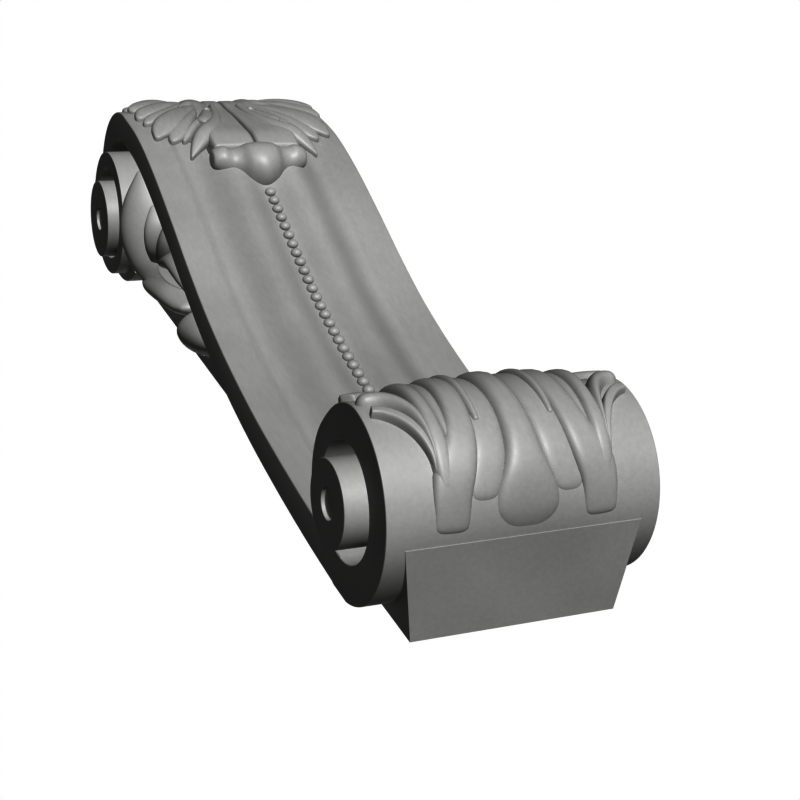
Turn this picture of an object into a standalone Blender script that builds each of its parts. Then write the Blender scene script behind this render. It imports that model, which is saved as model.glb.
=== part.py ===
"""Carved scroll bracket: an S-shaped band between two volutes, on a web that stands against the wall.

Every length is written in millimetres and turned into metres by MM. The bracket stands upright:
X runs across it, the wall is the plane y = 0, the front looks toward -Y and +Z is up.
Points of the side view are pairs (up, out), where out is the distance in front of the wall.
"""

import math

import bmesh
import bpy
from mathutils import Matrix, Vector

MM = 0.001
NAME = "scroll_bracket"

# Whole bracket
HALF_HEIGHT = 210.0
RIDGE_HEIGHT = 1.0  # of the band's swells over its borders at the very top
BAND_HALF_WIDTH = 55.0
BAND_THICKNESS = 14.0
WEB_HALF_WIDTH = 42.1
FOOT_SPREAD = 0.149  # half-width the foot gains per millimetre out from the wall
FOOT_LAP = 4.0
RECESS_FLOOR = 39.0  # distance of the floors of the eyes from the middle

# Lower volute, the roll. Its radius draws in by a share between two turns, counted from its
# lowest line over the front, and swells again behind, inside the web
ROLL_RADIUS = 38.3
ROLL_GAP = 0.3  # keeps the roll off the plane of the foot
ROLL_UP = -HALF_HEIGHT + ROLL_RADIUS + ROLL_GAP
ROLL_OUT = 38.0
ROLL_DRAW = 0.12
ROLL_DRAW_TURNS = (math.radians(84.0), math.radians(142.0))
ROLL_SWELL_TURNS = (math.radians(225.0), math.radians(280.0))
ROLL_STEPS = 32
ROLL_RECESS_RADIUS = 23.1
ROLL_HUB_RADIUS = 17.0
ROLL_HUB_END = 61.9

# Upper volute, larger, with one more step
CREST_RADIUS = 45.5
CREST_UP = HALF_HEIGHT - CREST_RADIUS - RIDGE_HEIGHT
CREST_OUT = 49.3
CREST_RECESS_RADIUS = 32.0
STEP_RADIUS = 32.8
STEP_END = 62.4
STEP_RECESS_RADIUS = 24.3
STEP_RECESS_FLOOR = 46.0
STEP_UP = CREST_UP - 2.0
STEP_OUT = 41.4
HUB_RADIUS = 20.4
HUB_END = 67.5
HUB_OUT = 38.3
DIMPLE_RADIUS = 6.5
DIMPLE_DEPTH = 2.5
LARGE_ROUND_STEPS = 36
SMALL_ROUND_STEPS = 28
TOP_STEPS = 8

# Front of the band in the side view, from inside the roll to the crest
FRONT_KNOTS = [
    (ROLL_UP, 15.2),
    (-137.0, 17.3),
    (-102.0, 20.8),
    (-66.6, 25.8),
    (-31.2, 33.1),
    (2.7, 42.7),
    (34.3, 54.7),
    (65.5, 68.1),
    (100.0, 81.8),
    (132.0, 91.2),
    (CREST_UP, CREST_OUT + CREST_RADIUS),
]
STEPS_PER_KNOT = 2
TOP_TURN = math.radians(225.0)
TURN_STEPS = 17

# Half of the band's cross-section: distance from the middle and height over the border
SWELL_HEIGHT = 6.4
CHANNEL_HEIGHT = 1.6
FLUTES = [
    (BAND_HALF_WIDTH, 0.0),
    (41.5, 0.0),
    (38.6, -1.1),
    (35.4, -1.6),
    (31.8, -0.8),
    (27.0, 1.8),
    (22.0, 4.8),
    (15.2, SWELL_HEIGHT),
    (9.0, 5.2),
    (4.6, 3.2),
]

# Beads down the middle
BEAD_PITCH = 6.5
BEAD_RADII = (2.8, 2.4, 2.6)
BEAD_LIFT = 2.6
BEAD_SIDES = 6
BEAD_RINGS = 4
FIRST_BEAD = 87.0
LAST_BEAD = 310.0

# Lobes of the leaves: shares across, fullness of their arch, and the least size of a tip
LEAF_SECTION = [-1.0, -0.7, 0.0, 0.7, 1.0]
LEAF_STEPS = 1
LEAF_FULLNESS = 0.8
LEAST_HALF_WIDTH = 0.4
LEAST_HEIGHT = 0.3
QUARTER_ROLL = ROLL_RADIUS * math.pi / 2


def place(x, up, out):
    """Turns millimetres across, up and out from the wall into a point of the model."""
    return Vector((x, -out, up)) * MM


def smooth(knots, steps):
    """Reads a Catmull-Rom curve through the knots, steps points to each stretch."""
    knots = [Vector(knot) for knot in knots]
    ends = [2 * knots[0] - knots[1]] + knots + [2 * knots[-1] - knots[-2]]
    points = []
    for a, b, c, d in zip(ends, ends[1:], ends[2:], ends[3:]):
        for step in range(steps):
            t = step / steps
            points.append(
                b + 0.5 * t * (c - a + t * (2 * a - 5 * b + 4 * c - d + t * (3 * (b - c) + d - a)))
            )
    points.append(knots[-1])
    return points


def front_line():
    """The band's front from the roll to the crest, then round the upper volute."""
    line = smooth(FRONT_KNOTS, STEPS_PER_KNOT)
    crest = len(line) - 1
    for step in range(1, TURN_STEPS + 1):
        turn = TOP_TURN * step / TURN_STEPS
        line.append(
            Vector((CREST_UP + CREST_RADIUS * math.sin(turn), CREST_OUT + CREST_RADIUS * math.cos(turn)))
        )
    return line, crest


FRONT, CREST = front_line()


def lengths(line):
    """Distance of each point of the line from its start."""
    total = [0.0]
    for a, b in zip(line, line[1:]):
        total.append(total[-1] + (b - a).length)
    return total


FRONT_LENGTHS = lengths(FRONT)


def on_band(x, down, height):
    """A point on the band: across, distance down the front from the crest, height over the border."""
    along = FRONT_LENGTHS[CREST] - down
    last = len(FRONT) - 2
    index = 0
    while index < last and FRONT_LENGTHS[index + 1] < along:
        index += 1
    start, end = FRONT[index], FRONT[index + 1]
    share = (along - FRONT_LENGTHS[index]) / (FRONT_LENGTHS[index + 1] - FRONT_LENGTHS[index])
    before = FRONT[max(index - 1, 0)]
    after = FRONT[min(index + 2, len(FRONT) - 1)]
    tangent = (end - before).lerp(after - start, share).normalized()
    foot = start.lerp(end, share)
    return place(x, foot.x - height * tangent.y, foot.y + height * tangent.x)


def ease(value, start, end):
    """Goes smoothly from 0 at start to 1 at end."""
    share = min(max((value - start) / (end - start), 0.0), 1.0)
    return share * share * (3.0 - 2.0 * share)


def roll_point(turn, height):
    """A point of the roll's side view: turn up from its lowest line, height over its surface."""
    draw = ROLL_DRAW * (ease(turn, *ROLL_DRAW_TURNS) - ease(turn, *ROLL_SWELL_TURNS))
    reach = ROLL_RADIUS * (1.0 - draw) + height
    return Vector((ROLL_UP - reach * math.cos(turn), ROLL_OUT + reach * math.sin(turn)))


def on_roll(x, arc, height):
    """A point on the roll: across, arc length up from its lowest line, height over its surface."""
    point = roll_point(arc / ROLL_RADIUS, height)
    return place(x, point.x, point.y)


def foot_half_width(out):
    """Half of the foot's width at a distance from the wall."""
    return WEB_HALF_WIDTH + FOOT_SPREAD * out


def on_side(side):
    """A chart of one side of the web: up, out, height over its face."""

    def chart(up, out, height):
        return place(side * (WEB_HALF_WIDTH + height), up, out)

    return chart


def collection(name):
    """A new collection in the scene."""
    made = bpy.data.collections.new(name)
    bpy.context.scene.collection.children.link(made)
    return made


def add_mesh(name, mesh, where):
    """Puts a mesh into a collection as an object."""
    made = bpy.data.objects.new(name, mesh)
    where.objects.link(made)
    return made


def as_helper(helper):
    """Marks an object that only joins or cuts another."""
    helper.hide_render = True
    helper.display_type = "WIRE"


def combine(target, name, operation, where):
    """Joins a collection of bodies to the target, or cuts it from the target."""
    for helper in where.objects:
        as_helper(helper)
    change = target.modifiers.new(name, "BOOLEAN")
    change.operation = operation
    change.operand_type = "COLLECTION"
    change.collection = where
    change.solver = "EXACT"


def curve_to_mesh(curve_object, name, where):
    """Replaces a curve by its mesh with the caps welded."""
    bpy.context.view_layer.update()
    evaluated = curve_object.evaluated_get(bpy.context.evaluated_depsgraph_get())
    mesh = bpy.data.meshes.new_from_object(evaluated)
    shape = bmesh.new()
    shape.from_mesh(mesh)
    bmesh.ops.remove_doubles(shape, verts=shape.verts, dist=0.00001)
    bmesh.ops.recalc_face_normals(shape, faces=shape.faces)
    shape.to_mesh(mesh)
    shape.free()
    mesh.name = name
    made = add_mesh(name, mesh, where)
    made.matrix_world = curve_object.matrix_world
    bpy.data.objects.remove(curve_object)
    return made


def polyline(name, points, closed, dimensions):
    """A curve object of one straight-sided spline."""
    curve = bpy.data.curves.new(name, "CURVE")
    curve.dimensions = dimensions
    spline = curve.splines.new("POLY")
    spline.points.add(len(points) - 1)
    for point, position in zip(spline.points, points):
        point.co = (*position, 1.0)
    spline.use_cyclic_u = closed
    made = bpy.data.objects.new(name, curve)
    bpy.context.scene.collection.objects.link(made)
    return made


def band_section():
    """The closed cross-section of the band, fluted on its front."""
    right = [(x, height) for x, height in FLUTES]
    left = [(-x, height) for x, height in reversed(FLUTES)]
    front = right + [(0.0, CHANNEL_HEIGHT)] + left
    back = [(-BAND_HALF_WIDTH, -BAND_THICKNESS), (BAND_HALF_WIDTH, -BAND_THICKNESS)]
    return front + back


def lower_swells(made):
    """Draws the band's swells down where it goes over the top, so that they stay below its plane."""
    for vertex in made.data.vertices:
        up = vertex.co.z / MM - CREST_UP
        out = -vertex.co.y / MM - CREST_OUT
        reach = math.hypot(up, out)
        turn = math.degrees(math.atan2(up, out)) % 360.0
        over = reach - CREST_RADIUS
        if 0.0 < over < 2 * SWELL_HEIGHT and turn < math.degrees(TOP_TURN) + 1.0:
            share = ease(turn, 15.0, 75.0) * (1.0 - RIDGE_HEIGHT / SWELL_HEIGHT)
            draw = (CREST_RADIUS + over * (1.0 - share)) / reach
            vertex.co = place(vertex.co.x / MM, CREST_UP + up * draw, CREST_OUT + out * draw)


def band(where):
    """The fluted band, drawn along its front line as a curve with a cross-section."""
    section_points = [Vector((x, -height, 0.0)) * MM for x, height in band_section()]
    section = polyline("band_section", section_points, True, "2D")
    path_points = [place(0.0, point.x, point.y) for point in FRONT]
    path = polyline("band_path", path_points, False, "3D")
    path.data.twist_mode = "MINIMUM"
    path.data.bevel_mode = "OBJECT"
    path.data.bevel_object = section
    path.data.use_fill_caps = True
    lower_swells(curve_to_mesh(path, "band", where))
    bpy.data.objects.remove(section)


def web_outline():
    """Side view of the web: inside the roll, along the middle of the band and to a flat top."""
    inside = BAND_THICKNESS / 2
    under = []
    for index in range(0, CREST + 1, STEPS_PER_KNOT):
        before = FRONT[max(index - 1, 0)]
        after = FRONT[index + 1]
        tangent = (after - before).normalized()
        under.append(FRONT[index] + inside * Vector((tangent.y, -tangent.x)))
    quarter = [
        Vector((CREST_UP, CREST_OUT))
        + (CREST_RADIUS - inside) * Vector((math.sin(turn), math.cos(turn)))
        for turn in [math.pi / 2 * step / TOP_STEPS for step in range(1, TOP_STEPS)]
    ]
    top = [Vector((HALF_HEIGHT, CREST_OUT)), Vector((HALF_HEIGHT, 0.0))]
    return [Vector((ROLL_UP, 0.0))] + under + quarter + top


def foot(where):
    """The block under the roll, flat on its underside and its back."""
    outline = [
        Vector((-HALF_HEIGHT, 0.0)),
        Vector((-HALF_HEIGHT, ROLL_OUT)),
        Vector((ROLL_UP + FOOT_LAP, ROLL_OUT)),
        Vector((ROLL_UP + FOOT_LAP, 0.0)),
    ]
    slab("foot", outline, foot_half_width, where)


def slab(name, outline, half_width, where):
    """A plate across the bracket from its outline; half_width(out) says how wide it is."""
    points = [Vector((point.x, point.y, 0.0)) * MM for point in outline]
    flat = polyline(f"{name}_outline", points, True, "2D")
    flat.data.fill_mode = "BOTH"
    flat.data.extrude = WEB_HALF_WIDTH * MM
    made = curve_to_mesh(flat, name, where)
    for vertex in made.data.vertices:
        up, out, side = vertex.co / MM
        vertex.co = place(math.copysign(half_width(out), side), up, out)
    shape = bmesh.new()
    shape.from_mesh(made.data)
    bmesh.ops.recalc_face_normals(shape, faces=shape.faces)
    shape.to_mesh(made.data)
    shape.free()
    return made


def roll(where):
    """The roll at the foot, across the whole width."""
    outline = [roll_point(2.0 * math.pi * step / ROLL_STEPS, 0.0) for step in range(ROLL_STEPS)]
    slab("roll", outline, lambda out: BAND_HALF_WIDTH, where)


def cylinder(name, radius, ends, up, out, where):
    """A cylinder across the bracket between two distances from the middle."""
    shape = bmesh.new()
    bmesh.ops.create_cone(
        shape,
        cap_ends=True,
        segments=LARGE_ROUND_STEPS,
        radius1=radius * MM,
        radius2=radius * MM,
        depth=abs(ends[1] - ends[0]) * MM,
    )
    bmesh.ops.rotate(shape, matrix=Matrix.Rotation(math.pi / 2, 3, "Y"), verts=shape.verts)
    mesh = bpy.data.meshes.new(name)
    shape.to_mesh(mesh)
    shape.free()
    made = add_mesh(name, mesh, where)
    made.location = place((ends[0] + ends[1]) / 2, up, out)


def turned(name, half_profile, up, out, steps, where):
    """A body turned about the X direction: half_profile runs from its end on the axis to the middle."""
    left = [(-x, radius) for x, radius in half_profile]
    right = [(x, radius) for x, radius in reversed(half_profile)]
    mesh = bpy.data.meshes.new(name)
    points = [Vector((x, 0.0, radius)) * MM for x, radius in left + right]
    edges = [(index, index + 1) for index in range(len(points) - 1)]
    mesh.from_pydata(points, edges, [])
    made = add_mesh(name, mesh, where)
    made.location = place(0.0, up, out)
    screw = made.modifiers.new("turn", "SCREW")
    screw.axis = "X"
    screw.steps = steps
    screw.render_steps = steps
    screw.use_merge_vertices = True
    screw.merge_threshold = 0.00001
    screw.use_normal_calculate = True
    screw.use_normal_flip = True


def dimpled_end(end, radius):
    """Profile of a hub's end with a small round sinking in it."""
    return [
        (end - DIMPLE_DEPTH, 0.0),
        (end - DIMPLE_DEPTH, DIMPLE_RADIUS),
        (end, DIMPLE_RADIUS),
        (end, radius),
    ]


def leaf(name, chart, stations, sink, where):
    """One rounded lobe laid on a chart.

    Each station is (u, v, half-width, height). The lobe runs through them as a smooth loft whose
    sections are low arches with their feet sunk below the surface.
    """
    knots = [Vector(station) for station in stations]
    line = smooth(knots, LEAF_STEPS)
    shape = bmesh.new()
    rings = []
    for index, station in enumerate(line):
        before = line[max(index - 1, 0)]
        after = line[min(index + 1, len(line) - 1)]
        across = Vector((after.y - before.y, before.x - after.x)).normalized()
        half_width = max(station.z, LEAST_HALF_WIDTH)
        height = max(station.w, LEAST_HEIGHT)
        ring = []
        for share in LEAF_SECTION:
            arch = math.sqrt(max(1.0 - share * share, 0.0)) ** LEAF_FULLNESS
            rise = -sink + (height + sink) * arch
            u = station.x + across.x * half_width * share
            v = station.y + across.y * half_width * share
            ring.append(shape.verts.new(chart(u, v, rise)))
        rings.append(ring)
    count = len(LEAF_SECTION)
    for one, two in zip(rings, rings[1:]):
        for index in range(count):
            other = (index + 1) % count
            shape.faces.new((one[index], one[other], two[other], two[index]))
    shape.faces.new(rings[0])
    shape.faces.new(rings[-1])
    bmesh.ops.recalc_face_normals(shape, faces=shape.faces)
    mesh = bpy.data.meshes.new(name)
    shape.to_mesh(mesh)
    shape.free()
    add_mesh(name, mesh, where)


def mirrored(stations, side):
    """The stations of a lobe on the right, or on the left with side -1."""
    return [(side * x, v, half_width, height) for x, v, half_width, height in stations]


def roll_stations(stations):
    """Stations whose second value is given in quarter turns of the roll."""
    return [(x, turn * QUARTER_ROLL, half_width, height) for x, turn, half_width, height in stations]


# The leaf that wraps the roll. Stations: across, quarter turns up the roll, half-width, height
ROLL_MIDDLE = [
    (0.0, 1.85, 3.0, 3.5),
    (0.0, 1.45, 4.4, 6.8),
    (0.0, 1.05, 5.2, 5.2),
    (0.0, 0.68, 6.6, 4.6),
    (0.0, 0.42, 9.6, 4.3),
    (0.0, 0.22, 13.0, 3.6),
    (0.0, 0.08, 9.5, 2.2),
    (0.0, 0.03, 5.0, 0.8),
]
ROLL_SIDES = [
    [
        (7.0, 1.85, 2.5, 2.0),
        (9.5, 1.4, 4.4, 5.4),
        (11.5, 1.0, 5.2, 3.4),
        (14.0, 0.62, 5.8, 2.8),
        (17.0, 0.34, 6.4, 1.8),
        (17.3, 0.25, 4.0, 0.6),
    ],
    [
        (12.5, 1.8, 2.5, 3.0),
        (17.5, 1.4, 4.0, 6.2),
        (21.0, 1.05, 4.8, 4.8),
        (24.0, 0.75, 4.6, 4.3),
        (27.0, 0.48, 2.6, 2.6),
    ],
    [
        (17.5, 1.85, 2.5, 3.0),
        (25.0, 1.5, 4.4, 4.6),
        (30.5, 1.1, 5.6, 5.4),
        (32.0, 0.75, 6.2, 4.8),
        (30.4, 0.42, 7.4, 4.2),
        (29.8, 0.2, 7.0, 2.8),
        (29.6, 0.1, 4.6, 0.8),
    ],
    [
        (35.0, 0.48, 1.4, 2.4),
        (36.5, 0.72, 2.4, 4.6),
        (39.5, 0.92, 3.4, 5.4),
        (45.5, 1.02, 4.0, 5.0),
        (51.5, 0.98, 3.6, 3.8),
        (54.0, 0.94, 1.8, 2.8),
    ],
    [
        (24.0, 1.75, 3.0, 3.0),
        (34.0, 1.52, 5.0, 4.6),
        (44.0, 1.36, 5.0, 4.8),
        (51.0, 1.26, 3.6, 3.8),
        (54.0, 1.22, 1.5, 2.0),
    ],
]

# The palmette that hangs over the crest. Stations: across, down from the crest, half-width, height
PALMETTE_MIDDLE = [
    [
        (0.0, -30.0, 4.0, 3.0),
        (0.0, -12.0, 7.0, 5.2),
        (0.0, 8.0, 8.0, 7.0),
        (0.0, 26.0, 12.0, 8.4),
        (0.0, 42.0, 18.0, 10.0),
        (0.0, 54.0, 21.0, 9.0),
        (0.0, 60.0, 14.0, 6.0),
    ],
    [
        (-25.0, 60.5, 3.0, 5.0),
        (-20.0, 61.0, 8.8, 13.0),
        (-12.5, 61.5, 9.2, 13.0),
        (-6.0, 64.5, 12.5, 16.0),
        (0.0, 66.5, 14.5, 18.0),
        (6.0, 64.5, 12.5, 16.0),
        (12.5, 61.5, 9.2, 13.0),
        (20.0, 61.0, 8.8, 13.0),
        (25.0, 60.5, 3.0, 5.0),
    ],
]
PALMETTE_SIDES = [
    [
        (4.0, 2.0, 2.6, 7.6),
        (6.6, 18.5, 4.0, 9.4),
        (11.0, 30.0, 5.0, 10.4),
        (18.0, 40.0, 5.4, 10.6),
        (25.6, 48.0, 4.6, 8.0),
        (31.5, 56.0, 0.8, 1.8),
    ],
    [
        (8.5, 4.0, 3.4, 6.6),
        (13.6, 18.0, 4.8, 9.0),
        (18.0, 28.0, 3.4, 7.4),
        (24.0, 36.0, 3.2, 6.2),
        (32.0, 43.5, 0.8, 1.8),
    ],
    [
        (12.0, -3.0, 4.0, 5.0),
        (23.5, 14.5, 8.2, 8.4),
        (34.0, 27.5, 8.8, 8.0),
        (39.8, 36.0, 7.6, 5.8),
        (42.5, 41.5, 3.6, 2.0),
    ],
    [
        (14.0, -11.0, 3.4, 5.0),
        (30.0, 1.0, 5.4, 7.4),
        (43.0, 12.0, 5.2, 6.6),
        (48.5, 19.5, 2.0, 2.2),
    ],
    [
        (15.0, -18.0, 3.4, 5.0),
        (30.0, -9.0, 5.6, 7.0),
        (44.0, 2.0, 5.2, 6.4),
        (50.5, 9.5, 1.8, 2.0),
    ],
    [
        (15.0, -23.0, 3.4, 4.8),
        (31.0, -20.0, 5.6, 6.6),
        (45.0, -9.0, 5.0, 5.6),
        (52.0, -1.5, 1.4, 1.8),
    ],
    [
        (13.0, -28.0, 3.4, 4.4),
        (29.0, -31.0, 5.4, 5.6),
        (42.0, -25.0, 4.8, 4.8),
        (50.0, -18.0, 1.4, 1.6),
    ],
    [
        (5.0, -29.0, 4.0, 4.0),
        (14.0, -40.0, 6.0, 4.8),
        (24.0, -46.0, 4.6, 4.0),
        (31.0, -48.0, 1.4, 1.4),
    ],
]

# The acanthus on each side of the web. Stations: up, out, half-width, height
SIDE_LEAVES = [
    [
        (2.0, 24.0, 1.0, 4.0),
        (17.0, 20.0, 7.0, 10.0),
        (32.0, 18.0, 12.0, 15.0),
        (44.0, 16.5, 13.5, 17.0),
        (52.0, 17.0, 7.0, 12.0),
    ],
    [
        (56.0, 22.0, 3.0, 6.0),
        (66.0, 18.0, 8.0, 14.0),
        (84.0, 15.5, 9.5, 17.0),
        (102.0, 14.0, 8.0, 17.0),
        (121.0, 15.0, 2.6, 12.5),
    ],
    [
        (58.0, 30.0, 1.8, 8.0),
        (70.0, 31.5, 2.8, 12.5),
        (82.0, 33.0, 2.8, 13.0),
        (92.0, 34.0, 1.4, 9.0),
    ],
    [
        (42.0, 35.0, 2.4, 8.0),
        (56.0, 40.5, 6.0, 12.0),
        (74.0, 43.0, 6.6, 13.5),
        (88.0, 38.0, 4.4, 12.5),
        (96.0, 34.0, 1.4, 9.0),
    ],
    [
        (101.0, 28.0, 3.0, 7.0),
        (97.0, 38.0, 6.6, 11.0),
        (92.0, 49.0, 7.4, 11.5),
        (91.0, 60.0, 3.0, 8.0),
    ],
    [
        (113.0, 29.0, 2.4, 9.0),
        (107.5, 40.0, 5.6, 14.0),
        (107.5, 51.0, 5.8, 14.5),
        (112.0, 62.0, 2.4, 10.0),
    ],
    [
        (117.0, 13.0, 3.0, 8.0),
        (121.0, 26.0, 11.0, 18.0),
        (126.0, 42.0, 13.0, 22.5),
        (129.0, 58.0, 10.5, 20.0),
        (131.0, 75.0, 2.6, 12.0),
    ],
]

ROLL_SINK = 3.0
SIDE_SINK = 3.0
PALMETTE_SINK = 6.5


def carve_roll(where):
    """The leaf round the roll."""
    leaf("roll_leaf_middle", on_roll, roll_stations(ROLL_MIDDLE), ROLL_SINK, where)
    for number, stations in enumerate(ROLL_SIDES):
        for side in (-1, 1):
            lobe = roll_stations(mirrored(stations, side))
            leaf(f"roll_leaf_{number}", on_roll, lobe, ROLL_SINK, where)


def carve_palmette(where):
    """The palmette over the crest."""
    for number, stations in enumerate(PALMETTE_MIDDLE):
        leaf(f"palmette_middle_{number}", on_band, stations, PALMETTE_SINK, where)
    for number, stations in enumerate(PALMETTE_SIDES):
        for side in (-1, 1):
            leaf(f"palmette_{number}", on_band, mirrored(stations, side), PALMETTE_SINK, where)


def carve_sides(where):
    """The leaves on both sides of the web."""
    for number, stations in enumerate(SIDE_LEAVES):
        for side in (-1, 1):
            leaf(f"side_leaf_{number}", on_side(side), stations, SIDE_SINK, where)


def string_beads(where):
    """The row of beads down the middle of the band."""
    shape = bmesh.new()
    bmesh.ops.create_uvsphere(shape, u_segments=BEAD_SIDES, v_segments=BEAD_RINGS, radius=1.0)
    bmesh.ops.scale(shape, vec=Vector(BEAD_RADII) * MM, verts=shape.verts)
    mesh = bpy.data.meshes.new("bead")
    shape.to_mesh(mesh)
    shape.free()
    count = int((LAST_BEAD - FIRST_BEAD) / BEAD_PITCH) + 1
    for number in range(count):
        down = FIRST_BEAD + number * BEAD_PITCH
        bead = add_mesh(f"bead_{number}", mesh, where)
        bead.location = on_band(0.0, down, BEAD_LIFT)


def eyes(where):
    """The recesses in both ends of both volutes."""
    for side in (-1, 1):
        ends = (side * RECESS_FLOOR, side * 2.0 * BAND_HALF_WIDTH)
        cylinder("roll_eye", ROLL_RECESS_RADIUS, ends, ROLL_UP, ROLL_OUT, where)
        cylinder("crest_eye", CREST_RECESS_RADIUS, ends, CREST_UP, CREST_OUT, where)


def steps_and_hubs(where):
    """What stands in the eyes: the hubs, and in the upper volute a ring round its hub."""
    roll_hub = dimpled_end(ROLL_HUB_END, ROLL_HUB_RADIUS)
    turned("roll_hub", roll_hub, ROLL_UP, ROLL_OUT, SMALL_ROUND_STEPS, where)
    step_profile = [
        (STEP_RECESS_FLOOR, 0.0),
        (STEP_RECESS_FLOOR, STEP_RECESS_RADIUS),
        (STEP_END, STEP_RECESS_RADIUS),
        (STEP_END, STEP_RADIUS),
    ]
    turned("upper_step", step_profile, STEP_UP, STEP_OUT, LARGE_ROUND_STEPS, where)
    upper_hub = dimpled_end(HUB_END, HUB_RADIUS)
    turned("upper_hub", upper_hub, STEP_UP, HUB_OUT, SMALL_ROUND_STEPS, where)


def finish():
    """One material for the whole carving."""
    material = bpy.data.materials.new("grey_primer")
    material.use_nodes = True
    shader = material.node_tree.nodes["Principled BSDF"]
    shader.inputs["Base Color"].default_value = (0.36, 0.36, 0.36, 1.0)
    shader.inputs["Roughness"].default_value = 0.5
    shader.inputs["Metallic"].default_value = 0.0
    return material


def main():
    for old in list(bpy.data.objects):
        bpy.data.objects.remove(old)
    parts = collection(NAME)
    bracket = slab(NAME, web_outline(), lambda out: WEB_HALF_WIDTH, parts)
    bracket.data.materials.append(finish())

    frame = collection("frame")
    band(frame)
    roll(frame)
    foot(frame)
    combine(bracket, "frame", "UNION", frame)

    cuts = collection("cuts")
    eyes(cuts)
    combine(bracket, "eyes", "DIFFERENCE", cuts)

    carving = collection("carving")
    steps_and_hubs(carving)
    carve_roll(carving)
    carve_palmette(carving)
    carve_sides(carving)
    string_beads(carving)
    combine(bracket, "carving", "UNION", carving)


main()
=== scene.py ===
# %% [markdown]
# # A carved scroll bracket
#
# The object is a corbel: a block of carved hardwood under a shelf or a beam, painted with matt
# grey primer. An S-shaped fluted band curls into a large volute at the top and a small roll at the
# foot, and acanthus leaves lie on the band, on the roll and in the hollows of both sides.
# The solid model is loaded first. It gives the size and the place, and is kept as the frame.

import bisect
import math

import bpy
from mathutils import Matrix, Vector


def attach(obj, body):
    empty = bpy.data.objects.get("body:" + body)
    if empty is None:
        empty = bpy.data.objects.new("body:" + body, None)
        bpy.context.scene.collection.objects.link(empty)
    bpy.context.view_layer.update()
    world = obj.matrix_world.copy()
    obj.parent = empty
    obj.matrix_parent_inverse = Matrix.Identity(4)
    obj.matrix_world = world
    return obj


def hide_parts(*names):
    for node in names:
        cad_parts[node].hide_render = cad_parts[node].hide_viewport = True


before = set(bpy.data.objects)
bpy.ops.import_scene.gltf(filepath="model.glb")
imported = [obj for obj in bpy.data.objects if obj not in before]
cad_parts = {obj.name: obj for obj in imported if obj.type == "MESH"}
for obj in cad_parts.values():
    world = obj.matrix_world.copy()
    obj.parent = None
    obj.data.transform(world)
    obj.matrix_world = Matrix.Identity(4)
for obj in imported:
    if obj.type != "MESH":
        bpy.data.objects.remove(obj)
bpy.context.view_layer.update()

# %% [markdown]
# ## Camera
#
# The photograph looks at the bracket from below its foot, a little from its left, so the wall side
# runs away from the eye and the roll at the foot comes out large. A camera could be turned by
# angles, but here its directions are given instead. They, its place and the lens were fitted to the
# bracket's edges in the picture.

# %% Camera
bpy.ops.object.camera_add()
camera = bpy.context.object
camera.name = "camera"
forward = Vector((0.3968, 0.4082, 0.8222)).normalized()
right = forward.cross(Vector((0.0871, -0.9084, 0.4089))).normalized()
upward = right.cross(forward)
camera.matrix_world = Matrix((right, upward, -forward)).transposed().to_4x4()
camera.location = (-0.2474, -0.2935, -0.6077)
camera.data.sensor_width = 36.0
camera.data.lens = 66.97
camera.data.clip_start = 0.01
bpy.context.scene.camera = camera
print("camera", tuple(round(value, 4) for value in camera.location), camera.data.lens, "mm lens")

# %% [markdown]
# ## Light and floor
#
# The picture is bright from the front and from below and throws no cast shadows, and the left
# faces are nearly black. One broad key light without shadow gives that. Weaker lights from behind,
# above and the right mostly reach faces that the photograph doesn't show, so that those can be read
# too, and a very faint one from the left keeps the left faces from going black. These four give
# no gloss. The floor lies well below the bracket, as under a wall bracket, and stays plain.

# %% Light and floor
def add_sun(name, towards, strength, softness, shadow):
    """A far light shining in a direction."""
    bpy.ops.object.light_add(type="SUN")
    made = bpy.context.object
    made.name = name
    made.rotation_mode = "QUATERNION"
    made.rotation_quaternion = Vector(towards).to_track_quat("-Z", "Y")
    made.data.energy = strength
    made.data.angle = math.radians(softness)
    made.data.use_shadow = shadow
    return made


add_sun("key_light", (0.047, 0.766, 0.641), 5.6, 12.0, False)
add_sun("back_light", (-0.1, -0.9, -0.4), 2.6, 30.0, True).visible_glossy = False
add_sun("top_light", (0.0, -0.5, -0.87), 2.4, 30.0, True).visible_glossy = False
add_sun("right_light", (-0.8, -0.5, -0.33), 2.2, 30.0, True).visible_glossy = False
add_sun("left_light", (0.75, -0.6, -0.3), 0.25, 60.0, True).visible_glossy = False

world = bpy.data.worlds.new("studio")
bpy.context.scene.world = world
world.use_nodes = True
sky = world.node_tree.nodes["Background"]
sky.inputs["Color"].default_value = (1.0, 1.0, 1.0, 1.0)
sky.inputs["Strength"].default_value = 0.08
pale = world.node_tree.nodes.new("ShaderNodeBackground")
pale.inputs["Color"].default_value = (1.0, 1.0, 1.0, 1.0)
pale.inputs["Strength"].default_value = 1.0
seen = world.node_tree.nodes.new("ShaderNodeLightPath")
choice = world.node_tree.nodes.new("ShaderNodeMixShader")
world.node_tree.links.new(seen.outputs["Is Camera Ray"], choice.inputs["Fac"])
world.node_tree.links.new(sky.outputs["Background"], choice.inputs[1])
world.node_tree.links.new(pale.outputs["Background"], choice.inputs[2])
world.node_tree.links.new(choice.outputs["Shader"], world.node_tree.nodes["World Output"].inputs["Surface"])

bpy.context.scene.view_settings.view_transform = "Raw"

FLOOR_LEVEL = -0.8
bpy.ops.mesh.primitive_plane_add(size=6.0, location=(0.0, 0.0, FLOOR_LEVEL))
floor = bpy.context.object
floor.name = "floor"
floor.visible_shadow = False
floor.visible_diffuse = False
floor.visible_glossy = False
print("floor", FLOOR_LEVEL, "m")

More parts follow.
